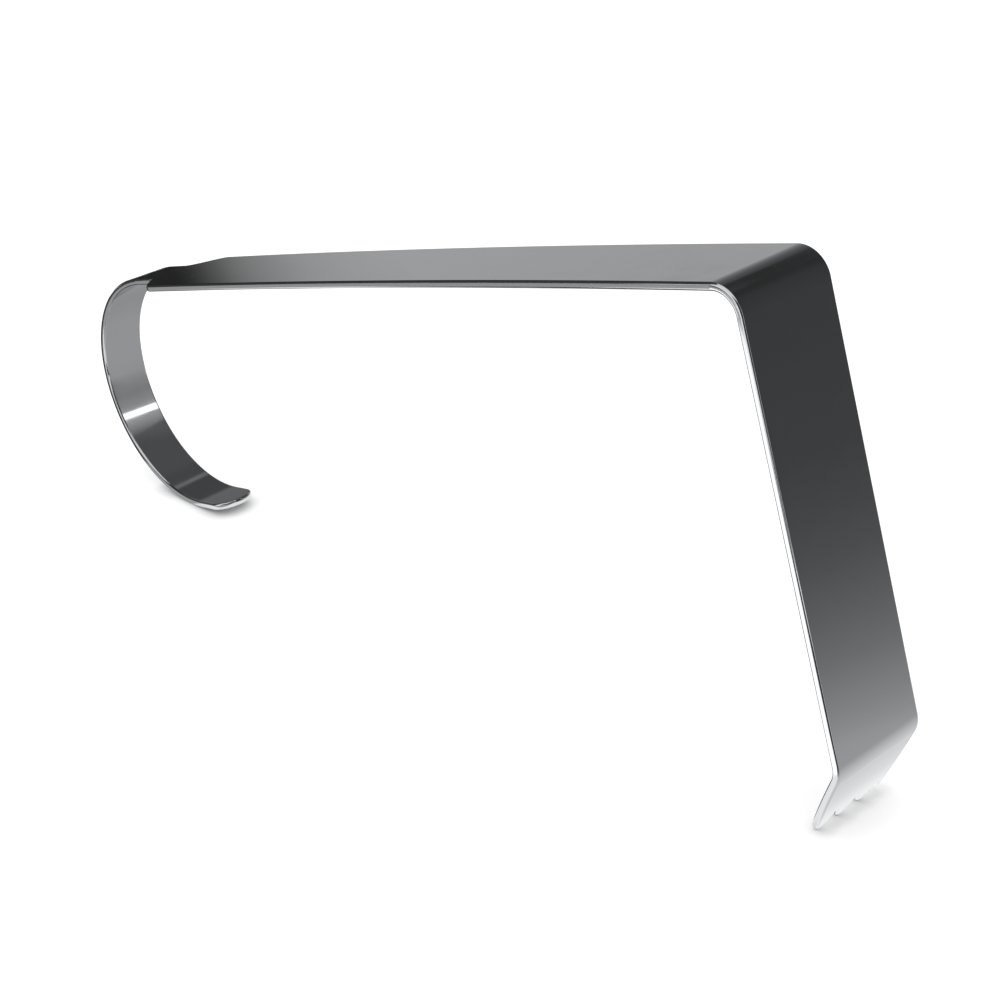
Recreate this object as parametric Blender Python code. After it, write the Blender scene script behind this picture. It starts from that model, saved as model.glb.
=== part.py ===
"""Hibbs retractor at real size, in metres, standing on its teeth and its hook.

The real instrument is one strip of stainless steel. It is cut flat, its edges are rounded, and then it is
bent along its length. This script makes it in the same order: a flat blank, a bevel, and the bends.
X runs from the hook to the blade, Y across the strip and Z up. The origin is the middle of the standing
part's box at floor level.
"""

import math

import bmesh
import bpy
from mathutils import Matrix, Vector

# The strip
STRIP_WIDTH = 0.0254
STRIP_THICKNESS = 0.0017
EDGE_RADIUS = 0.0005

# The toothed lip at the toe of the blade. It narrows slowly at first, and faster toward the teeth.
# Each notch has its root shifted by the lean toward the far side, so the teeth are a little lopsided.
LIP_LENGTH = 0.0169
LIP_ANGLE = math.radians(38.7)
LIP_BEND_RADIUS = 0.0057
LIP_END_WIDTH = 0.0194
LIP_TAPER_POWER = 1.9
TOOTH_COUNT = 4
TOOTH_DEPTH = 0.0040
TOOTH_LEAN = 0.0013
TOOTH_TIP_RADIUS = 0.0006
TOOTH_ROOT_RADIUS = 0.00025

# The blade, and the elbow between it and the shaft. All bend radii are to the middle of the thickness.
BLADE_LENGTH = 0.0884
ELBOW_RADIUS = 0.0058
ELBOW_ANGLE = math.radians(87.8)

# The shaft, which is very slightly arched
SHAFT_LENGTH = 0.2038
SHAFT_ARCH_ANGLE = math.radians(2.0)

# The shoulders, where the shaft narrows to the hook
SHOULDER_LENGTH = 0.0100
SHOULDER_TO_HOOK = 0.0067

# The hook: two arcs of unlike radius, a short straight tail and a rounded end
HOOK_WIDTH = 0.0118
HOOK_UPPER_RADIUS = 0.0288
HOOK_UPPER_ANGLE = math.radians(79.0)
HOOK_LOWER_RADIUS = 0.0314
HOOK_LOWER_ANGLE = math.radians(97.5)
HOOK_TAIL_LENGTH = 0.0094
HOOK_END_ROUNDING = 0.0045

# How finely curves are cut
BEND_STEP = math.radians(5.0)
ARCH_STEPS = 10
LIP_STEPS = 14
SHOULDER_STEPS = 14
END_STEPS = 18
CORNER_STEPS = 4
EDGE_SEGMENTS = 3
SMOOTH_ANGLE = math.radians(28.0)

# Most of a tooth's side that the rounding at one of its ends may take
CORNER_SHARE = 0.45

# A point nearer than this to a crease is taken as lying on it
CREASE_TOLERANCE = 0.000001

# How often the part is turned to bring hook and teeth level, which settles far sooner
LEVELLING_TURNS = 8

# Finish
STEEL_COLOUR = (0.56, 0.57, 0.58, 1.0)
STEEL_ROUGHNESS = 0.28


def clear_scene():
    """Removes whatever the startup scene holds."""
    for item in list(bpy.data.objects):
        bpy.data.objects.remove(item, do_unlink=True)


def arc_run(radius, angle):
    """A bend of this radius, as (length, angle turned, flat facets that stand for it)."""
    return radius * angle, angle, math.ceil(angle / BEND_STEP)


def bend_plan():
    """The runs of the strip from the teeth to the hook's end, each as (length, angle turned, flat facets)."""
    return [
        (LIP_LENGTH, 0.0, 1),
        arc_run(LIP_BEND_RADIUS, LIP_ANGLE),
        (BLADE_LENGTH, 0.0, 1),
        arc_run(ELBOW_RADIUS, ELBOW_ANGLE),
        (SHAFT_LENGTH, SHAFT_ARCH_ANGLE, ARCH_STEPS),
        arc_run(HOOK_UPPER_RADIUS, HOOK_UPPER_ANGLE),
        arc_run(HOOK_LOWER_RADIUS, HOOK_LOWER_ANGLE),
        (HOOK_TAIL_LENGTH, 0.0, 1),
    ]


def run_start(index):
    """Distance along the strip at which a run of the bend plan starts."""
    return sum(length for length, _, _ in bend_plan()[:index])


def strip_length():
    """Length of the flat blank."""
    return run_start(len(bend_plan()))


def lip_end():
    """Where the lip's bend meets the flat blade."""
    return run_start(2)


def hook_start():
    """Where the hook's bend begins."""
    return run_start(5)


def shoulder_start():
    """Where the shaft begins to narrow."""
    return hook_start() - SHOULDER_TO_HOOK - SHOULDER_LENGTH


def half_width(along):
    """Half the blank's width at a distance along it, without the teeth and the rounded end."""
    if along < lip_end():
        inset = (STRIP_WIDTH - LIP_END_WIDTH) / 2
        return STRIP_WIDTH / 2 - inset * (1 - along / lip_end()) ** LIP_TAPER_POWER
    share = min(max((along - shoulder_start()) / SHOULDER_LENGTH, 0.0), 1.0)
    ease = share * share * (3 - 2 * share)
    return (STRIP_WIDTH + (HOOK_WIDTH - STRIP_WIDTH) * ease) / 2


def spread(start, end, steps):
    """Evenly spaced values from start to end, both included."""
    return [start + (end - start) * step / steps for step in range(steps + 1)]


def side_points():
    """The far side of the blank, from beside the last tooth to where the hook's end starts to round."""
    stations = spread(TOOTH_DEPTH, lip_end(), LIP_STEPS)
    stations += spread(shoulder_start(), shoulder_start() + SHOULDER_LENGTH, SHOULDER_STEPS)
    stations.append(strip_length() - HOOK_END_ROUNDING)
    return [Vector((along, half_width(along))) for along in stations]


def end_points():
    """The rounded end of the hook, as half an ellipse from the far side to the near side."""
    middle = strip_length() - HOOK_END_ROUNDING
    points = []
    for turn in spread(math.pi / 2, -math.pi / 2, END_STEPS)[1:-1]:
        points.append(Vector((middle + HOOK_END_ROUNDING * math.cos(turn), HOOK_WIDTH / 2 * math.sin(turn))))
    return points


def rounded_corner(before, corner, after, radius):
    """Points of an arc of this radius that touches both lines of a corner."""
    toward = (before - corner).normalized()
    away = (after - corner).normalized()
    half = math.acos(max(-1.0, min(1.0, toward.dot(away)))) / 2
    shorter_side = min((before - corner).length, (after - corner).length)
    reach = min(radius / math.tan(half), shorter_side * CORNER_SHARE)
    radius = reach * math.tan(half)
    centre = corner + (toward + away).normalized() * (radius / math.sin(half))
    start = corner + toward * reach - centre
    finish = corner + away * reach - centre
    sweep = start.angle_signed(finish)
    return [centre + Matrix.Rotation(-turn, 2) @ start for turn in spread(0.0, sweep, CORNER_STEPS)]


def tooth_points():
    """The toothed end, from the near side to the far side: tips with V-shaped notches between them."""
    pitch = LIP_END_WIDTH / (TOOTH_COUNT - 1)
    first_side = Vector((TOOTH_DEPTH, -half_width(TOOTH_DEPTH)))
    corners = [(first_side, 0.0)]
    for tooth in range(TOOTH_COUNT):
        across = tooth * pitch - LIP_END_WIDTH / 2
        corners.append((Vector((0.0, across)), TOOTH_TIP_RADIUS))
        if tooth < TOOTH_COUNT - 1:
            corners.append((Vector((TOOTH_DEPTH, across + pitch / 2 + TOOTH_LEAN)), TOOTH_ROOT_RADIUS))
    corners.append((Vector((first_side.x, -first_side.y)), 0.0))
    points = []
    for index in range(1, len(corners) - 1):
        corner, radius = corners[index]
        points += rounded_corner(corners[index - 1][0], corner, corners[index + 1][0], radius)
    return points


def blank_outline():
    """The whole outline of the flat blank, as a loop of points."""
    far_side = side_points()
    near_side = [Vector((point.x, -point.y)) for point in reversed(far_side)]
    return tooth_points() + far_side + end_points() + near_side


def flat_blank():
    """A bmesh of the flat strip with rounded edges. X is the distance along it and Z goes through it."""
    mesh = bmesh.new()
    base = -STRIP_THICKNESS / 2
    corners = [mesh.verts.new((point.x, point.y, base)) for point in blank_outline()]
    face = mesh.faces.new(corners)
    raised = bmesh.ops.extrude_face_region(mesh, geom=[face])
    moved = [item for item in raised["geom"] if isinstance(item, bmesh.types.BMVert)]
    bmesh.ops.translate(mesh, verts=moved, vec=(0.0, 0.0, STRIP_THICKNESS))
    bmesh.ops.recalc_face_normals(mesh, faces=mesh.faces)
    rims = [edge for edge in mesh.edges if abs(edge.verts[0].co.z - edge.verts[1].co.z) < STRIP_THICKNESS / 2]
    bmesh.ops.bevel(
        mesh,
        geom=rims,
        offset=EDGE_RADIUS,
        offset_type="OFFSET",
        segments=EDGE_SEGMENTS,
        profile=0.5,
        affect="EDGES",
        clamp_overlap=False,
        material=-1,
    )
    return mesh


def crease_stations():
    """Distances along the strip at which the blank is cut across, so that it can bend there."""
    stations = []
    start = 0.0
    for length, _, steps in bend_plan():
        stations += spread(start, start + length, steps)[1:]
        start += length
    stations += spread(shoulder_start(), shoulder_start() + SHOULDER_LENGTH, SHOULDER_STEPS)
    return [along for along in stations if along < strip_length() - HOOK_END_ROUNDING / 2]


def cut_across(mesh):
    """Cuts the flat blank across at every crease."""
    for along in crease_stations():
        everything = list(mesh.verts) + list(mesh.edges) + list(mesh.faces)
        bmesh.ops.bisect_plane(
            mesh,
            geom=everything,
            dist=CREASE_TOLERANCE,
            plane_co=(along, 0.0, 0.0),
            plane_no=(1.0, 0.0, 0.0),
        )


def direction(heading):
    """Unit vector at this angle in the plane that the strip is bent in."""
    return Vector((math.cos(heading), math.sin(heading)))


def move_along(part, heading, turned):
    """How far a piece of strip leads when it sets off at a heading and turns evenly by an angle."""
    if turned == 0.0:
        return part * direction(heading)
    radius = part / turned
    return radius * (direction(heading + turned - math.pi / 2) - direction(heading - math.pi / 2))


def bent_point(along, across, through):
    """Where a point of the flat blank goes when the strip is bent, with the blade upright."""
    spot = Vector((0.0, 0.0))
    heading = math.pi / 2 - LIP_ANGLE
    for length, angle, _ in bend_plan():
        part = min(along, length)
        turned = angle * part / length
        spot += move_along(part, heading, turned)
        heading += turned
        along -= part
        if along <= 0.0:
            break
    spot += direction(heading + math.pi / 2) * through
    return Vector((spot.x, across, spot.y))


def bend(mesh):
    """Bends the flat blank."""
    for vert in mesh.verts:
        vert.co = bent_point(*vert.co)


def lowest_on_each_side(mesh):
    """The lowest point toward the hook and the lowest point toward the blade."""
    middle = sum(vert.co.x for vert in mesh.verts) / len(mesh.verts)
    left = min((vert.co for vert in mesh.verts if vert.co.x < middle), key=lambda place: place.z)
    right = min((vert.co for vert in mesh.verts if vert.co.x >= middle), key=lambda place: place.z)
    return left, right


def stand_up(mesh):
    """Turns the part until hook and teeth both touch the floor, then centres it over the origin."""
    for _ in range(LEVELLING_TURNS):
        left, right = lowest_on_each_side(mesh)
        lean = math.atan2(right.z - left.z, right.x - left.x)
        bmesh.ops.rotate(mesh, verts=mesh.verts, cent=(0, 0, 0), matrix=Matrix.Rotation(lean, 3, "Y"))
    places = [vert.co for vert in mesh.verts]
    middle = (min(place.x for place in places) + max(place.x for place in places)) / 2
    floor = min(place.z for place in places)
    bmesh.ops.translate(mesh, verts=mesh.verts, vec=(-middle, 0.0, -floor))


def steel():
    """Satin stainless steel."""
    material = bpy.data.materials.new("satin_stainless_steel")
    material.use_nodes = True
    shader = material.node_tree.nodes["Principled BSDF"]
    shader.inputs["Base Color"].default_value = STEEL_COLOUR
    shader.inputs["Roughness"].default_value = STEEL_ROUGHNESS
    shader.inputs["Metallic"].default_value = 1.0
    return material


def main():
    """Builds the retractor."""
    clear_scene()
    mesh = flat_blank()
    cut_across(mesh)
    bend(mesh)
    stand_up(mesh)
    data = bpy.data.meshes.new("retractor")
    mesh.to_mesh(data)
    mesh.free()
    data.polygons.foreach_set("use_smooth", [True] * len(data.polygons))
    data.set_sharp_from_angle(angle=SMOOTH_ANGLE)
    data.materials.append(steel())
    retractor = bpy.data.objects.new("retractor", data)
    bpy.context.scene.collection.objects.link(retractor)


main()
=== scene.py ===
"""A hibbs retractor in satin stainless steel, standing on a white table.

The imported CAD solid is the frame. The same strip is made again here with finer bends and smoother
rims, the way the real one is made: a flat blank is cut, its teeth are notched, its rims are
rounded, and then it is bent. Lengths are in metres. X runs from the hook to the blade, Y across
the strip and Z up.
"""

from __future__ import annotations

import logging
import math
from dataclasses import dataclass, field
from enum import Enum

import bmesh
import bpy
from mathutils import Matrix, Quaternion, Vector


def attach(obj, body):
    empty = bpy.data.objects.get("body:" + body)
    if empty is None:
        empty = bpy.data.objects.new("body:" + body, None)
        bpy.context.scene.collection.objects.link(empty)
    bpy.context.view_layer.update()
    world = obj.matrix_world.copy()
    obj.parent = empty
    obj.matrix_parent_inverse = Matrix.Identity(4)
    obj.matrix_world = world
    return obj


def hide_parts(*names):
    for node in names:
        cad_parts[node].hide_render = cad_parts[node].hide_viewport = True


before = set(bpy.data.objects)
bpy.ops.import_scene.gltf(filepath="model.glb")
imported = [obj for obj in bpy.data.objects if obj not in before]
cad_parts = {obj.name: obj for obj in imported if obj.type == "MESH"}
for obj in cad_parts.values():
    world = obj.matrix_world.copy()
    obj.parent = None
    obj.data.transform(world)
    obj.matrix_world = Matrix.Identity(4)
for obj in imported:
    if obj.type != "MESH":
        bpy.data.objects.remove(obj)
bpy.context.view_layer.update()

MM = 0.001
# Points of the blank that are closer than this count as one.
MERGE = 0.001 * MM
QUARTER_TURN = math.pi / 2
# The sRGB curve: a straight part for the darkest values and a power curve above it.
SRGB_LEVELS = 255
SRGB_STRAIGHT_END = 0.04045
SRGB_STRAIGHT_SLOPE = 12.92
SRGB_OFFSET = 0.055
SRGB_POWER = 2.4
LOG = logging.getLogger("retractor")


def linear(code: str) -> tuple[float, float, float, float]:
    """Turns an sRGB colour into the linear one that shaders take.

    Args:
        code: The colour as six hex digits.

    Returns:
        Linear red, green and blue, and an alpha of one.
    """
    parts = [int(code[start : start + 2], 16) / SRGB_LEVELS for start in (0, 2, 4)]
    red, green, blue = (
        part / SRGB_STRAIGHT_SLOPE
        if part <= SRGB_STRAIGHT_END
        else ((part + SRGB_OFFSET) / (1 + SRGB_OFFSET)) ** SRGB_POWER
        for part in parts
    )
    return red, green, blue, 1.0


def add_node(
    tree: bpy.types.NodeTree,
    kind: str,
    inputs: dict[str | int, object] | None = None,
    links: dict[str | int, bpy.types.NodeSocket] | None = None,
    **settings: object,
) -> bpy.types.Node:
    """Adds a node with its settings and links.

    Args:
        tree: The node tree that gets it.
        kind: The node's type.
        inputs: Values for its sockets, by socket name or number.
        links: Sockets of earlier nodes that feed it, by socket name or number.
        **settings: Its own properties.

    Returns:
        The new node.
    """
    node = tree.nodes.new(kind)
    for name, value in settings.items():
        setattr(node, name, value)
    for name, value in (inputs or {}).items():
        node.inputs[name].default_value = value
    for name, socket in (links or {}).items():
        tree.links.new(socket, node.inputs[name])
    return node


def new_material(name: str) -> tuple[bpy.types.Material, bpy.types.NodeTree]:
    """Makes an empty node material.

    Args:
        name: The material's name.

    Returns:
        The material and its node tree.
    """
    material = bpy.data.materials.new(name)
    material.use_nodes = True
    material.node_tree.nodes.clear()
    return material, material.node_tree


def new_object(
    name: str, mesh: bmesh.types.BMesh, material: bpy.types.Material
) -> bpy.types.Object:
    """Turns a finished bmesh into an object at the origin, and frees the bmesh.

    Args:
        name: The object's name.
        mesh: Its shape, in world coordinates.
        material: Its material.

    Returns:
        The object, in the scene.
    """
    data = bpy.data.meshes.new(name)
    mesh.to_mesh(data)
    mesh.free()
    data.materials.append(material)
    made = bpy.data.objects.new(name, data)
    bpy.context.scene.collection.objects.link(made)
    return made


def heading_vector(heading: float) -> Vector:
    """The unit vector at this angle in the plane that the strip is bent in."""
    return Vector((math.cos(heading), math.sin(heading)))


@dataclass(frozen=True)
class Run:
    """A stretch of the strip that is straight, or bent to one radius."""

    length: float
    turn: float = 0.0

    def facets(self, finest: float, longest: float) -> int:
        """How many flat facets stand for it.

        Args:
            finest: The angle that one facet may turn.
            longest: The length that one facet of a bend may have.

        Returns:
            One for a straight run, and more for a bend.
        """
        if self.turn == 0.0:
            return 1
        return max(math.ceil(self.turn / finest), math.ceil(self.length / longest))

    def step(self, heading: float, part: float) -> Vector:
        """The move that the first part of the run makes.

        Args:
            heading: The angle at which the run sets off.
            part: How much of its length is walked.

        Returns:
            The move in the bending plane.
        """
        turned = self.turn * part / self.length
        if turned == 0.0:
            return part * heading_vector(heading)
        start = heading_vector(heading - QUARTER_TURN)
        end = heading_vector(heading + turned - QUARTER_TURN)
        return (part / turned) * (end - start)


@dataclass(frozen=True)
class ToothedLip:
    """The turned-in toe of the blade, with its row of teeth."""

    length: float = 16.9 * MM
    angle: float = math.radians(38.7)
    bend_radius: float = 5.7 * MM
    end_width: float = 19.4 * MM
    taper_power: float = 1.9
    taper_cuts: int = 22
    teeth: int = 4
    tooth_depth: float = 4.0 * MM
    tooth_lean: float = 1.3 * MM
    tip_radius: float = 0.6 * MM
    root_radius: float = 0.25 * MM
    rounding: int = 6
    clear_of_notches: float = 1.15

    def runs(self) -> list[Run]:
        """The straight lip and its bend."""
        return [Run(self.length), Run(self.bend_radius * self.angle, self.angle)]

    def reach(self) -> float:
        """How far the lip and its bend go along the strip."""
        return sum(run.length for run in self.runs())

    def half_width(self, along: float, full: float) -> float:
        """Half the width of the tapering lip.

        Args:
            along: Distance from the tooth tips.
            full: Width of the blade that the lip tapers from.

        Returns:
            Half the width there.
        """
        narrowed = (1 - along / self.reach()) ** self.taper_power
        return full / 2 - (full - self.end_width) / 2 * narrowed

    def taper_stations(self) -> list[float]:
        """Finds where the blank is cut across so that the lip can taper.

        Returns:
            Distances from the tooth tips, clear of the notches.
        """
        start = self.clear_of_notches * self.tooth_depth
        cuts = self.taper_cuts
        return [start + (self.reach() - start) * cut / cuts for cut in range(cuts + 1)]

    def notch(self, mesh: bmesh.types.BMesh) -> None:
        """Cuts the teeth into the end of the flat blank and rounds their tips and roots.

        Args:
            mesh: The flat blank, one face thick, with its end at zero.
        """
        painted_contact_shade = self.tooth_depth / 2
        ends = [edge for edge in mesh.edges if all(vert.co.x < painted_contact_shade for vert in edge.verts)]
        # The row takes a point for each tip and each root, and the blank's two corners are tips.
        points = 2 * self.teeth - 1
        bmesh.ops.subdivide_edges(mesh, edges=ends, cuts=points - 2)
        row = sorted((vert for vert in mesh.verts if vert.co.x < painted_contact_shade), key=lambda vert: vert.co.y)
        tips, roots = row[0::2], row[1::2]
        bmesh.ops.translate(mesh, verts=roots, vec=(self.tooth_depth, self.tooth_lean, 0.0))
        corners = [(tip, self.tip_radius) for tip in tips]
        corners += [(root, self.root_radius) for root in roots]
        for corner, radius in corners:
            spot = corner.co.copy()
            neighbours = [edge.other_vert(corner) for edge in corner.link_edges]
            first, second = ((vert.co - spot).normalized() for vert in neighbours)
            half = first.angle(second) / 2
            arc = bmesh.ops.bevel(
                mesh,
                geom=[corner],
                offset=radius / math.tan(half),
                offset_type="OFFSET",
                segments=self.rounding,
                profile=0.5,
                affect="VERTICES",
                clamp_overlap=False,
                material=-1,
            )["verts"]
            # The bevel rounds a sharp corner with an ellipse, so its points move onto the circle.
            centre = spot + (first + second).normalized() * radius / math.sin(half)
            for vert in arc:
                vert.co = centre + (vert.co - centre).normalized() * radius


@dataclass(frozen=True)
class Blade:
    """The wide flat blade and the elbow above it."""

    length: float = 88.4 * MM
    elbow_radius: float = 5.8 * MM
    elbow_angle: float = math.radians(87.8)

    def runs(self) -> list[Run]:
        """The straight blade and the elbow."""
        return [Run(self.length), Run(self.elbow_radius * self.elbow_angle, self.elbow_angle)]


@dataclass(frozen=True)
class Shaft:
    """The long shaft, very slightly arched, with the shoulders where it narrows to the hook."""

    length: float = 203.8 * MM
    arch: float = math.radians(2.0)
    shoulder: float = 10.0 * MM
    shoulder_to_hook: float = 6.7 * MM
    shoulder_cuts: int = 30

    def runs(self) -> list[Run]:
        """The arched shaft."""
        return [Run(self.length, self.arch)]


@dataclass(frozen=True)
class FingerHook:
    """The half-round hook for the fingers, bent to two radii, with a short straight tail."""

    width: float = 11.8 * MM
    upper_radius: float = 28.8 * MM
    upper_angle: float = math.radians(79.0)
    lower_radius: float = 31.4 * MM
    lower_angle: float = math.radians(97.5)
    tail: float = 9.4 * MM
    end_rounding: float = 4.5 * MM
    rounding: int = 24

    def runs(self) -> list[Run]:
        """The two arcs and the tail."""
        return [
            Run(self.upper_radius * self.upper_angle, self.upper_angle),
            Run(self.lower_radius * self.lower_angle, self.lower_angle),
            Run(self.tail),
        ]

    def round_end(self, mesh: bmesh.types.BMesh, end: float) -> None:
        """Rounds the end of the flat blank to a half circle, squeezed to the end's own length.

        Args:
            mesh: The flat blank, one face thick.
            end: Where it ends.
        """
        corners = [vert for vert in mesh.verts if abs(vert.co.x - end) < MERGE]
        half = self.width / 2
        bmesh.ops.bevel(
            mesh,
            geom=corners,
            offset=half,
            offset_type="OFFSET",
            segments=self.rounding,
            profile=0.5,
            affect="VERTICES",
            clamp_overlap=False,
            material=-1,
        )
        bmesh.ops.remove_doubles(mesh, verts=mesh.verts, dist=MERGE)
        for vert in mesh.verts:
            past = vert.co.x - (end - half)
            if past > -MERGE:
                vert.co.x = end - self.end_rounding + past * self.end_rounding / half


@dataclass(frozen=True)
class SatinSteel:
    """Satin stainless steel: rolled strip, ground with a fine belt along it and lightly buffed.

    It gives the eye a soft mirror with fine lines along the strip, faint bands across it where the
    hand paused, and rims that are a little brighter than the flats and have no lines.
    """

    colour: str = "c6c8cb"
    rim_colour: str = "d2d4d6"
    roughness: float = 0.08
    roughness_swing: float = 0.03
    rim_roughness: float = 0.08
    line_length: float = 14.0 * MM
    line_width: float = 0.22 * MM
    line_depth: float = 0.0012 * MM
    line_detail: float = 4.0
    wave_length: float = 9.0 * MM
    wave_width: float = 34.0 * MM
    wave_depth: float = 0.003 * MM
    wave_detail: float = 1.5
    smear_size: float = 6.0 * MM
    smear_detail: float = 3.0
    smear_span: tuple[float, float] = (0.3, 0.7)

    def material(self, thickness: float, rim: float) -> bpy.types.Material:
        """Makes the material, with patterns that follow the bends as if drawn on the flat blank.

        Args:
            thickness: The strip's thickness.
            rim: The radius of its rims.

        Returns:
            The material.
        """
        material, tree = new_material("satin_stainless_steel")
        blank = add_node(tree, "ShaderNodeAttribute", attribute_name="blank").outputs["Vector"]
        # Lines of the grinding belt, faint waves in the sheet, and smears. Real lines are about
        # 0.05 mm wide, too fine to show here, so these are drawn coarser.
        patterns = []
        for along, across, detail in (
            (self.line_length, self.line_width, self.line_detail),
            (self.wave_length, self.wave_width, self.wave_detail),
            (self.smear_size, self.smear_size, self.smear_detail),
        ):
            scale = (1 / along, 1 / across, 1 / across)
            place = add_node(
                tree, "ShaderNodeVectorMath", {1: scale}, {0: blank}, operation="MULTIPLY"
            ).outputs[0]
            noise = add_node(
                tree, "ShaderNodeTexNoise", {"Scale": 1.0, "Detail": detail}, {"Vector": place}
            )
            patterns.append(noise.outputs[0])
        lines, waves, smears = patterns
        # How far a point lies from the middle of the thickness tells the rims from the flats.
        through = add_node(tree, "ShaderNodeSeparateXYZ", links={0: blank}).outputs["Z"]
        depth = add_node(
            tree, "ShaderNodeMath", links={0: through}, operation="ABSOLUTE"
        ).outputs[0]
        rim_share = add_node(
            tree,
            "ShaderNodeMapRange",
            {"From Min": thickness / 2, "From Max": thickness / 2 - rim},
            {"Value": depth},
        ).outputs[0]
        colour = add_node(
            tree,
            "ShaderNodeMix",
            {"A": linear(self.colour), "B": linear(self.rim_colour)},
            {"Factor": rim_share},
            data_type="RGBA",
        )
        low, high = self.smear_span
        flat_roughness = add_node(
            tree,
            "ShaderNodeMapRange",
            {
                "From Min": low,
                "From Max": high,
                "To Min": self.roughness - self.roughness_swing,
                "To Max": self.roughness + self.roughness_swing,
            },
            {"Value": smears},
        ).outputs[0]
        roughness = add_node(
            tree,
            "ShaderNodeMix",
            {"B": self.rim_roughness},
            {"Factor": rim_share, "A": flat_roughness},
            data_type="FLOAT",
        ).outputs[0]
        # The rims and narrow sides are buffed smooth, so the relief is on the flats only.
        flat_share = add_node(
            tree, "ShaderNodeMath", {0: 1.0}, {1: rim_share}, operation="SUBTRACT"
        ).outputs[0]
        fine = add_node(
            tree,
            "ShaderNodeBump",
            {"Distance": self.line_depth},
            {"Strength": flat_share, "Height": lines},
        ).outputs[0]
        relief = add_node(
            tree,
            "ShaderNodeBump",
            {"Distance": self.wave_depth},
            {"Strength": flat_share, "Height": waves, "Normal": fine},
        ).outputs[0]
        shader = add_node(
            tree,
            "ShaderNodeBsdfPrincipled",
            {"Metallic": 1.0},
            {"Base Color": colour.outputs["Result"], "Roughness": roughness, "Normal": relief},
        )
        add_node(tree, "ShaderNodeOutputMaterial", links={"Surface": shader.outputs[0]})
        return material


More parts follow.
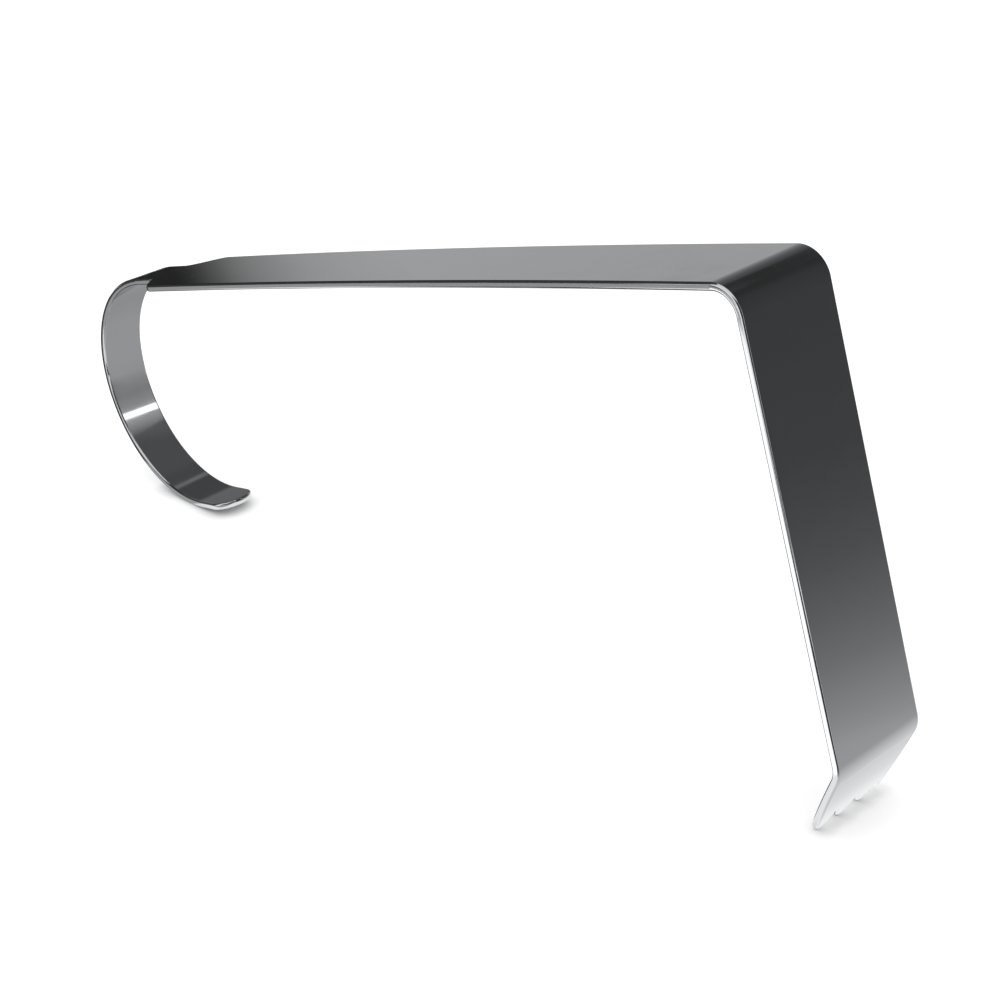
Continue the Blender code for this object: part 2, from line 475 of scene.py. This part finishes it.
@dataclass(frozen=True)
class Strip:
    """The whole instrument, one strip from the teeth to the hook's end."""

    width: float = 25.4 * MM
    thickness: float = 1.7 * MM
    rim: float = 0.5 * MM
    rim_segments: int = 6
    finest_turn: float = math.radians(1.0)
    longest_facet: float = 12.0 * MM
    standing_turns: int = 8
    flats_weight: int = 100
    lip: ToothedLip = field(default_factory=ToothedLip)
    blade: Blade = field(default_factory=Blade)
    shaft: Shaft = field(default_factory=Shaft)
    hook: FingerHook = field(default_factory=FingerHook)
    steel: SatinSteel = field(default_factory=SatinSteel)

    def runs(self) -> list[Run]:
        """Every run from the teeth to the hook's end."""
        return self.lip.runs() + self.blade.runs() + self.shaft.runs() + self.hook.runs()

    def length(self) -> float:
        """Length of the flat blank."""
        return sum(run.length for run in self.runs())

    def shoulder_start(self) -> float:
        """Finds where the shaft begins to narrow.

        Returns:
            The distance from the tooth tips.
        """
        before_hook = self.lip.runs() + self.blade.runs() + self.shaft.runs()
        hook_start = sum(run.length for run in before_hook)
        return hook_start - self.shaft.shoulder_to_hook - self.shaft.shoulder

    def half_width(self, along: float) -> float:
        """Half the width of the blank.

        Args:
            along: Distance from the tooth tips.

        Returns:
            Half the width there, before the end is rounded.
        """
        if along < self.lip.reach():
            return self.lip.half_width(along, self.width)
        share = min(max((along - self.shoulder_start()) / self.shaft.shoulder, 0.0), 1.0)
        s_curve = share * share * (3 - 2 * share)
        return (self.width + (self.hook.width - self.width) * s_curve) / 2

    def cut_across(self, mesh: bmesh.types.BMesh, stations: list[float]) -> None:
        """Cuts the flat blank across.

        Args:
            mesh: The flat blank, one face thick.
            stations: Where, as distances from the tooth tips.
        """
        for along in stations:
            bmesh.ops.bisect_plane(
                mesh,
                geom=mesh.verts[:] + mesh.edges[:] + mesh.faces[:],
                dist=MERGE,
                plane_co=(along, 0.0, 0.0),
                plane_no=(1.0, 0.0, 0.0),
            )

    def blank(self) -> bmesh.types.BMesh:
        """Makes the flat blank, one face thick: tapered, shouldered, notched and rounded.

        Returns:
            Its mesh, with the tooth tips at zero.
        """
        mesh = bmesh.new()
        bmesh.ops.create_grid(mesh, x_segments=1, y_segments=1, size=0.5)
        bmesh.ops.translate(mesh, verts=mesh.verts, vec=(0.5, 0.0, 0.0))
        bmesh.ops.scale(mesh, verts=mesh.verts, vec=(self.length(), self.width, 1.0))
        start, cuts = self.shoulder_start(), self.shaft.shoulder_cuts
        narrowing = [start + self.shaft.shoulder * cut / cuts for cut in range(cuts + 1)]
        self.cut_across(mesh, self.lip.taper_stations() + narrowing)
        for vert in mesh.verts:
            vert.co.y = math.copysign(self.half_width(vert.co.x), vert.co.y)
        self.lip.notch(mesh)
        self.hook.round_end(mesh, self.length())
        return mesh

    def creases(self) -> list[float]:
        """Finds where the blank is cut across so that it can bend.

        Returns:
            Distances from the tooth tips.
        """
        stations = []
        start = 0.0
        for run in self.runs()[:-1]:
            facets = run.facets(self.finest_turn, self.longest_facet)
            stations += [start + run.length * cut / facets for cut in range(1, facets + 1)]
            start += run.length
        return stations

    def thicken(self, mesh: bmesh.types.BMesh) -> None:
        """Gives the blank its thickness and rounds its rims.

        Args:
            mesh: The flat blank, one face thick.
        """
        bmesh.ops.translate(mesh, verts=mesh.verts, vec=(0.0, 0.0, -self.thickness / 2))
        raised = bmesh.ops.extrude_face_region(mesh, geom=mesh.faces[:])["geom"]
        top = [item for item in raised if isinstance(item, bmesh.types.BMVert)]
        bmesh.ops.translate(mesh, verts=top, vec=(0.0, 0.0, self.thickness))
        bmesh.ops.recalc_face_normals(mesh, faces=mesh.faces)
        mesh.normal_update()
        flats = {face for face in mesh.faces if abs(face.normal.z) > face.normal.xy.length}
        rims = [
            edge
            for edge in mesh.edges
            if edge.is_manifold and sum(face in flats for face in edge.link_faces) == 1
        ]
        bmesh.ops.bevel(
            mesh,
            geom=rims,
            offset=self.rim,
            offset_type="OFFSET",
            segments=self.rim_segments,
            profile=0.5,
            affect="EDGES",
            clamp_overlap=False,
            loop_slide=True,
            material=-1,
        )

    def keep_places(self, mesh: bmesh.types.BMesh) -> None:
        """Keeps each point's place on the flat blank, for the patterns of the steel.

        Args:
            mesh: The flat blank.
        """
        layer = mesh.verts.layers.float_vector.new("blank")
        for vert in mesh.verts:
            vert[layer] = vert.co

    def bend(self, mesh: bmesh.types.BMesh) -> None:
        """Bends the blank, with the blade upright.

        Args:
            mesh: The flat blank, cut across at its creases.
        """
        runs = self.runs()
        for vert in mesh.verts:
            along, across, through = vert.co
            spot = Vector((0.0, 0.0))
            heading = QUARTER_TURN - self.lip.angle
            for run in runs:
                part = min(along, run.length)
                spot += run.step(heading, part)
                heading += run.turn * part / run.length
                along -= part
                if along <= 0.0:
                    break
            spot += through * heading_vector(heading + QUARTER_TURN)
            vert.co = (spot.x, across, spot.y)

    def stand(self, mesh: bmesh.types.BMesh) -> None:
        """Turns the strip until hook and teeth touch the table, and centres it over the origin.

        Args:
            mesh: The bent strip.
        """
        for _ in range(self.standing_turns):
            places = [vert.co.copy() for vert in mesh.verts]
            middle = sum(place.x for place in places) / len(places)
            left = min((place for place in places if place.x < middle), key=lambda place: place.z)
            right = min((place for place in places if place.x >= middle), key=lambda place: place.z)
            lean = math.atan2(right.z - left.z, right.x - left.x)
            turn = Matrix.Rotation(lean, 3, "Y")
            bmesh.ops.rotate(mesh, verts=mesh.verts, cent=(0.0, 0.0, 0.0), matrix=turn)
        along = [vert.co.x for vert in mesh.verts]
        floor = min(vert.co.z for vert in mesh.verts)
        centre = (min(along) + max(along)) / 2
        bmesh.ops.translate(mesh, verts=mesh.verts, vec=(-centre, 0.0, -floor))

    def build(self) -> bpy.types.Object:
        """Makes the strip and puts it in the frame in place of the CAD node.

        Returns:
            The strip.
        """
        mesh = self.blank()
        self.cut_across(mesh, self.creases())
        self.thicken(mesh)
        self.keep_places(mesh)
        self.bend(mesh)
        self.stand(mesh)
        for face in mesh.faces:
            face.smooth = True
        steel = self.steel.material(self.thickness, self.rim)
        strip = new_object("retractor_strip", mesh, steel)
        flats = strip.modifiers.new("flat_faces_stay_flat", "WEIGHTED_NORMAL")
        flats.mode = "FACE_AREA"
        flats.weight = self.flats_weight
        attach(strip, "root")
        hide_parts("retractor")
        return strip


class Pose(Enum):
    """How a card is set up."""

    STANDING = "standing"
    LYING = "lying"


@dataclass(frozen=True)
class Card:
    """A glowing card out of the picture, which only the steel sees. Its glow is painted light and
    shade: its tone, which changes over its face, stands in for how lit the card is.

    Attributes:
        name: What it is.
        place: The middle of its lower edge, or of its near edge when it lies.
        heading: The way it faces, or its near edge looks, in degrees from +X.
        across: Pairs of a distance to the left of the middle, looking along the heading, and a
            share of the tone.
        up: Pairs of a height, or a distance from the near edge, and a tone, where one is white.
        pose: Whether it stands or lies.
    """

    name: str
    place: tuple[float, float, float]
    heading: float
    across: tuple[tuple[float, float], ...]
    up: tuple[tuple[float, float], ...]
    pose: Pose = Pose.STANDING

    def build(self, material: bpy.types.Material) -> bpy.types.Object:
        """Makes the card and hides it from everything but reflections.

        Args:
            material: A light that follows the tone.

        Returns:
            The card.
        """
        mesh = bmesh.new()
        tone = mesh.verts.layers.float.new("tone")
        columns, rows = len(self.across), len(self.up)
        grid = bmesh.ops.create_grid(mesh, x_segments=columns - 1, y_segments=rows - 1, size=1.0)
        for number, vert in enumerate(grid["verts"]):
            side, share = self.across[number % columns]
            height, light = self.up[number // columns]
            vert.co = (0.0, side, height)
            vert[tone] = share * light
        turn = Matrix.Rotation(math.radians(self.heading), 3, "Z")
        if self.pose is Pose.LYING:
            turn = turn @ Matrix.Rotation(-QUARTER_TURN, 3, "Y")
        bmesh.ops.rotate(mesh, verts=mesh.verts, cent=(0.0, 0.0, 0.0), matrix=turn)
        bmesh.ops.translate(mesh, verts=mesh.verts, vec=self.place)
        card = new_object(self.name, mesh, material)
        card.visible_camera = False
        card.visible_diffuse = False
        card.visible_transmission = False
        card.visible_shadow = False
        return card


@dataclass(frozen=True)
class WhiteTable:
    """White matt laminate: a plain pale floor, white straight and in the steel, with its shadow and
    a painted contact shade.
    """

    size: float = 40.0
    colour: str = "e7e7e7"
    own_white: float = 0.48
    white_in_steel: float = 1.15
    contact_reach: float = 3.6 * MM
    contact_power: float = 0.6
    contact_samples: int = 4

    def material(self) -> bpy.types.Material:
        """Makes the surface: lit laminate with some white of its own, and plain white in the steel.

        The soft dark rim of the contact shadow is painted shade: the colour and both glows are
        darkened by how much of the nearest millimetres the object hides.

        Returns:
            The material.
        """
        material, tree = new_material("white_matt_laminate")
        mirrored = add_node(tree, "ShaderNodeLightPath").outputs["Is Glossy Ray"]
        opening = add_node(
            tree,
            "ShaderNodeAmbientOcclusion",
            {"Distance": self.contact_reach},
            samples=self.contact_samples,
        ).outputs["AO"]
        # Painted contact shade: the occlusion darkens the table's colour and its glows near the
        # object.
        painted_contact_shade = add_node(
            tree, "ShaderNodeMath", {1: self.contact_power}, {0: opening}, operation="POWER"
        ).outputs[0]
        colour = add_node(
            tree,
            "ShaderNodeMix",
            {"A": (0.0, 0.0, 0.0, 1.0), "B": linear(self.colour)},
            {"Factor": painted_contact_shade},
            data_type="RGBA",
        ).outputs["Result"]
        glows = []
        for strength in (self.own_white, self.white_in_steel):
            dimmed = add_node(
                tree, "ShaderNodeMath", {1: strength}, {0: painted_contact_shade}, operation="MULTIPLY"
            ).outputs[0]
            glow = add_node(tree, "ShaderNodeEmission", links={"Strength": dimmed})
            glows.append(glow.outputs[0])
        own, white = glows
        lit = add_node(tree, "ShaderNodeBsdfDiffuse", links={"Color": colour}).outputs[0]
        seen = add_node(tree, "ShaderNodeAddShader", links={0: lit, 1: own}).outputs[0]
        both = add_node(
            tree, "ShaderNodeMixShader", links={0: mirrored, 1: seen, 2: white}
        ).outputs[0]
        add_node(tree, "ShaderNodeOutputMaterial", links={"Surface": both})
        return material

    def build(self) -> bpy.types.Object:
        """Makes the table top.

        Returns:
            The table.
        """
        mesh = bmesh.new()
        bmesh.ops.create_grid(mesh, x_segments=1, y_segments=1, size=self.size / 2)
        table = new_object("white_table", mesh, self.material())
        return table


@dataclass(frozen=True)
class SoftLamp:
    """A large soft lamp over the table."""

    place: tuple[float, float, float] = (0.05, -0.15, 0.95)
    size: float = 0.8
    watts: float = 1.2

    def build(self) -> bpy.types.Object:
        """Makes the lamp, aimed at the object.

        Returns:
            The lamp.
        """
        lamp = bpy.data.lights.new("soft_lamp_above", "AREA")
        lamp.shape = "DISK"
        lamp.size = self.size
        lamp.energy = self.watts
        made = bpy.data.objects.new("soft_lamp_above", lamp)
        made.location = self.place
        made.rotation_mode = "QUATERNION"
        made.rotation_quaternion = (-Vector(self.place)).to_track_quat("-Z", "Y")
        made.visible_glossy = False
        bpy.context.scene.collection.objects.link(made)
        return made


@dataclass(frozen=True)
class Camera:
    """The camera at the picture's angle: above the object, turned a few degrees."""

    place: tuple[float, float, float] = (318.16 * MM, -269.63 * MM, 242.96 * MM)
    aim: tuple[float, float, float] = (22.19 * MM, 0.0, 36.88 * MM)
    roll: float = math.radians(-3.6687)
    lens: float = 73.486
    sensor: float = 36.0
    nearest: float = 0.01
    farthest: float = 100.0

    def build(self) -> bpy.types.Object:
        """Makes the camera and gives it to the scene.

        Returns:
            The camera.
        """
        data = bpy.data.cameras.new("camera")
        data.sensor_width = self.sensor
        data.lens = self.lens
        data.clip_start = self.nearest
        data.clip_end = self.farthest
        made = bpy.data.objects.new("camera", data)
        made.location = self.place
        made.rotation_mode = "QUATERNION"
        aimed = (Vector(self.aim) - Vector(self.place)).to_track_quat("-Z", "Y")
        made.rotation_quaternion = aimed @ Quaternion((0.0, 0.0, 1.0), self.roll)
        bpy.context.scene.collection.objects.link(made)
        bpy.context.scene.camera = made
        return made


def even(start: float, end: float, value: float = 1.0) -> tuple[tuple[float, float], ...]:
    """Makes the pairs of a stretch that has one value all along.

    Args:
        start: Where it starts.
        end: Where it ends.
        value: Its tone or share.

    Returns:
        The pairs for both ends.
    """
    return (start, value), (end, value)


# Tones of the plain cards and cloths, where one is white.
BLACK = 0.05
DARK = 0.06
MIDDLE_GREY = 0.40

# Cards that stand round the object. Their glowing tones are painted light and shade, which give
# each stretch of the strip the gradient that it has in the picture.
STANDING_CARDS = (
    # Painted light: the card glows brightest at its foot and fades upwards, as if lit by the white
    # table.
    Card(
        "card_beside_blade",
        (0.185, 0.060, 0.0),
        225.0,
        ((-0.090, 0.82), (-0.060, 0.82), (-0.040, 1.0), (0.085, 1.0)),
        (
            (0.0, 0.50),
            (0.003, 0.44),
            (0.008, 0.37),
            (0.019, 0.25),
            (0.030, 0.18),
            (0.042, 0.125),
            (0.053, 0.10),
            (0.066, 0.08),
            (0.10, 0.068),
            (0.20, 0.05),
            (0.26, 0.045),
        ),
    ),
    Card(
        "card_behind_shaft",
        (-0.306, 0.257, 0.0),
        -40.0,
        (
            (-0.31, 0.05),
            (-0.112, 0.05),
            (-0.107, 0.08),
            (-0.102, 0.15),
            (-0.095, 0.28),
            (-0.089, 0.43),
            (-0.082, 0.56),
            (-0.062, 0.82),
            (-0.045, 0.93),
            (-0.020, 1.0),
            (0.31, 1.0),
        ),
        (
            (0.0, 0.44),
            (0.14, 0.45),
            (0.18, 0.40),
            (0.226, 0.30),
            (0.305, 0.19),
            (0.38, 0.13),
            (0.52, 0.07),
        ),
    ),
    # The bright stripe, a strip of painted light on the card, makes the white highlight across the
    # hook.
    Card(
        "card_beyond_hook",
        (0.180, 0.180, 0.0),
        211.0,
        even(-0.062, 0.035),
        (
            (0.0, 0.45),
            (0.040, 0.38),
            (0.095, 0.33),
            (0.155, 0.40),
            (0.187, 0.52),
            (0.189, 2.2),
            (0.227, 2.2),
            (0.229, 0.52),
            (0.29, 0.38),
            (0.33, 0.27),
            (0.37, 0.20),
        ),
    ),
    Card(
        "low_card_beside_tail",
        (-0.165, 0.052, 0.0),
        -30.0,
        even(-0.03, 0.05),
        ((0.0, 0.17), (0.016, 0.18), (0.026, 0.085), (0.045, 0.085)),
    ),
    # The grey stripe, a strip of painted light on the card, makes the faint line across the hook's
    # tail.
    Card(
        "dark_card_over_tail",
        (-0.3343, 0.2155, 0.15),
        -40.0,
        even(-0.06, 0.14),
        (
            (0.0, 0.085),
            (0.138, 0.085),
            (0.162, 0.235),
            (0.178, 0.235),
            (0.204, 0.095),
            (0.30, 0.096),
            (0.40, 0.105),
        ),
    ),
    Card(
        "dark_card_before_neck",
        (-0.300, -0.220, 0.0),
        40.0,
        even(-0.13, 0.13),
        even(0.0, 0.22, BLACK),
    ),
    Card(
        "dark_card_under_shaft",
        (0.020, 0.030, 0.0),
        -90.0,
        even(-0.065, 0.065),
        even(0.0, 0.06, BLACK),
    ),
    Card(
        "black_cloth_behind",
        (0.10, 0.50, 0.0),
        -90.0,
        even(-1.1, 1.1),
        (
            (0.0, 0.06),
            (0.47, 0.07),
            (0.53, 0.058),
            (0.56, 0.041),
            (0.60, 0.040),
            (0.65, 0.08),
            (0.73, 0.16),
            (0.78, 0.14),
            (0.84, 0.11),
            (1.6, 0.13),
        ),
    ),
    Card(
        "black_cloth_left",
        (-0.60, -0.10, 0.0),
        0.0,
        even(-0.7, 0.7),
        even(0.0, 1.2, DARK),
    ),
    Card(
        "black_cloth_before_camera",
        (0.55, -0.45, 0.0),
        140.0,
        even(-0.5, 0.5),
        even(0.0, 0.8, DARK),
    ),
)

# Cards that lie on the table, for the strip's narrow sides and for the parts that mirror the table
# close by. Their glow is painted light and shade that the steel mirrors in place of the table
# there.
# Where two overlap, the steel sees the one that lies a hair higher.
LYING_CARDS = (
    Card(
        "white_card_before_blade",
        (-0.0876, -0.2276, 0.0005),
        225.0,
        even(-0.045, 0.045),
        ((0.0, 0.42), (0.036, 0.42), (0.050, 1.5), (0.28, 1.6)),
        Pose.LYING,
    ),
    Card(
        "grey_card_before_shaft",
        (-0.0797, -0.2255, 0.0003),
        -37.5,
        even(-0.035, 0.035),
        even(0.0, 0.215, MIDDLE_GREY),
        Pose.LYING,
    ),
    Card(
        "grey_card_before_hook",
        (-0.0900, -0.0090, 0.0002),
        28.4,
        even(-0.022, 0.020),
        ((0.0, 0.46), (0.175, 0.42)),
        Pose.LYING,
    ),
    Card(
        "grey_card_behind_hook",
        (-0.080, 0.016, 0.0003),
        -90.0,
        (
            (-0.185, 0.66),
            (-0.12, 0.72),
            (-0.046, 0.86),
            (-0.025, 0.98),
            (0.0, 1.0),
            (0.27, 0.90),
        ),
        even(0.0, 0.16, 0.5),
        Pose.LYING,
    ),
    Card(
        "dark_card_left_of_hook",
        (-0.165, -0.008, 0.0005),
        0.0,
        even(-0.022, 0.038),
        even(0.0, 0.27, DARK),
        Pose.LYING,
    ),
    Card(
        "dark_card_right_of_blade",
        (0.30, -0.030, 0.0003),
        90.0,
        even(-0.17, 0.17),
        even(0.0, 0.34, DARK),
        Pose.LYING,
    ),
    Card(
        "dark_card_left_of_blade",
        (-0.0880, -0.1610, 0.0006),
        216.0,
        even(-0.07, -0.004),
        even(0.0, 0.26, DARK),
        Pose.LYING,
    ),
    Card(
        "dark_card_under_elbow",
        (0.072, -0.040, 0.0002),
        -90.0,
        even(-0.028, 0.028),
        even(0.0, 0.10, DARK),
        Pose.LYING,
    ),
    Card(
        "grey_card_under_tail",
        (-0.0615, -0.0125, 0.0007),
        90.0,
        even(-0.0415, 0.0415),
        even(0.0, 0.0175, MIDDLE_GREY),
        Pose.LYING,
    ),
    Card(
        "dark_card_beyond_shaft",
        (-0.0797, -0.2255, 0.0004),
        -37.5,
        even(-0.12, -0.033),
        even(-0.05, 0.215, DARK),
        Pose.LYING,
    ),
    Card(
        "dark_card_past_hook",
        (-0.0797, -0.2255, 0.0004),
        -37.5,
        even(-0.12, 0.10),
        even(0.213, 0.40, DARK),
        Pose.LYING,
    ),
    Card(
        "dark_card_beside_hook",
        (-0.0900, -0.0090, 0.0004),
        28.4,
        even(0.009, 0.055),
        even(0.030, 0.19, DARK),
        Pose.LYING,
    ),
    Card(
        "white_card_beside_lip",
        (0.118, 0.030, 0.0006),
        180.0,
        even(-0.06, 0.06),
        (
            (0.0, 1.25),
            (0.0015, 1.2),
            (0.003, 1.0),
            (0.005, 0.88),
            (0.013, 0.86),
            (0.027, 0.70),
            (0.041, 0.57),
            (0.066, 0.50),
            (0.13, 0.50),
        ),
        Pose.LYING,
    ),
)


@dataclass(frozen=True)
class Studio:
    """The room, the table, the lamp, the cards round the object and the camera."""

    world_light: float = 0.80
    table: WhiteTable = field(default_factory=WhiteTable)
    camera: Camera = field(default_factory=Camera)
    lamp: SoftLamp = field(default_factory=SoftLamp)
    cards: tuple[Card, ...] = STANDING_CARDS + LYING_CARDS

    def card_light(self) -> bpy.types.Material:
        """Makes the painted glow of every card, which follows the tone kept on its face.

        Returns:
            The material.
        """
        material, tree = new_material("card_painted_glow")
        tone = add_node(tree, "ShaderNodeAttribute", attribute_name="tone").outputs["Fac"]
        # The glow is painted light: each card shines with its tone instead of being lit.
        light = add_node(tree, "ShaderNodeEmission", links={"Strength": tone})
        add_node(tree, "ShaderNodeOutputMaterial", links={"Surface": light.outputs[0]})
        return material

    def world(self) -> None:
        """Makes the surroundings: white where seen or mirrored, and softer as light."""
        world = bpy.data.worlds.new("white_room")
        bpy.context.scene.world = world
        world.use_nodes = True
        tree = world.node_tree
        tree.nodes.clear()
        paths = add_node(tree, "ShaderNodeLightPath").outputs
        seen = paths["Is Camera Ray"]
        for path in ("Is Glossy Ray", "Is Transmission Ray"):
            seen = add_node(
                tree, "ShaderNodeMath", links={0: seen, 1: paths[path]}, operation="MAXIMUM"
            ).outputs[0]
        strength = add_node(
            tree,
            "ShaderNodeMapRange",
            {"To Min": self.world_light, "To Max": 1.0},
            {"Value": seen},
        ).outputs[0]
        light = add_node(
            tree, "ShaderNodeBackground", {"Color": linear("ffffff")}, {"Strength": strength}
        )
        add_node(tree, "ShaderNodeOutputWorld", links={"Surface": light.outputs[0]})

    def build(self) -> None:
        """Makes everything in the studio."""
        self.world()
        self.table.build()
        self.lamp.build()
        material = self.card_light()
        for card in self.cards:
            card.build(material)
        self.camera.build()
        bpy.context.scene.view_settings.view_transform = "Standard"


def main() -> None:
    logging.basicConfig(level=logging.INFO, format="%(name)s: %(message)s")
    Studio().build()
    strip = Strip().build()
    LOG.info("%s: %d faces on body root", strip.name, len(strip.data.polygons))
    bpy.context.view_layer.update()


if __name__ == "__main__":
    main()
